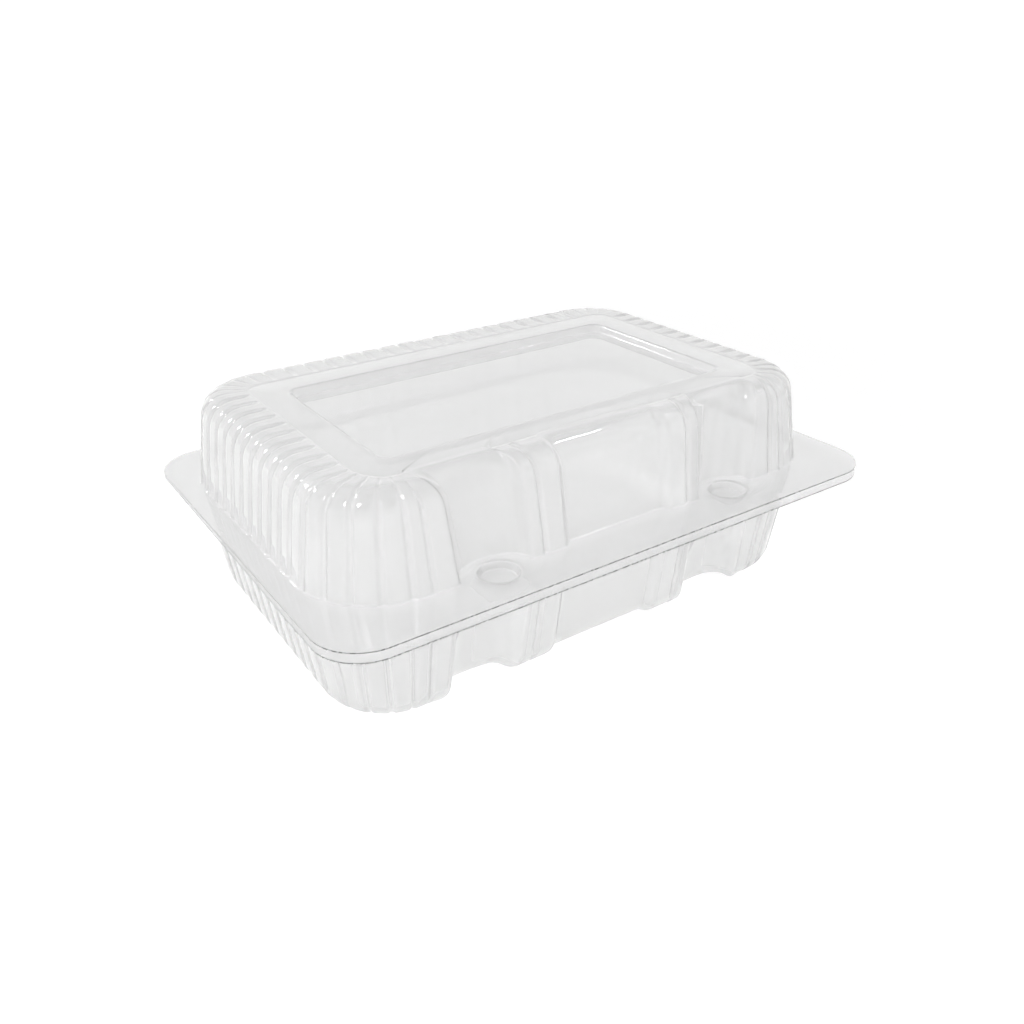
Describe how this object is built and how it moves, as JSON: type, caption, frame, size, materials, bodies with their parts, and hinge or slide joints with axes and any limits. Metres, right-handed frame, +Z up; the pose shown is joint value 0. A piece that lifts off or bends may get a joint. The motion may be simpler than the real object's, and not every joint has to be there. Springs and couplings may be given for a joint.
{
  "type": "hinged clamshell pack",
  "caption": "Clear thermoformed clamshell pack: deep fluted tray and domed fluted lid on a living hinge, with flat flanges and round snap buttons at the front.",
  "frame": {"origin": "middle of the pack's plan, on the plane that the tray stands on", "axes": "+X along the hinge, +Y from the buttons towards the hinge, +Z up"},
  "size_m": [0.24, 0.1764, 0.0881],
  "materials": {
    "tray_sheet": "clear thermoformed polyester sheet, glossy",
    "lid_sheet": "clear thermoformed polyester sheet, glossy",
    "hinge_sheet": "clear polyester sheet, folded"
  },
  "bodies": {
    "base": {"base_tray": "tray_sheet", "living_hinge": "hinge_sheet"},
    "lid": {"lid": "lid_sheet"}
  },
  "joints": [
    {"name": "lid_hinge", "type": "hinge", "parent": "base", "child": "lid", "pos_m": [0, 0.0875, 0.0496], "axis": [-1, 0, 0], "range_deg": [0, 179], "deforming": ["living_hinge"]}
  ]
}
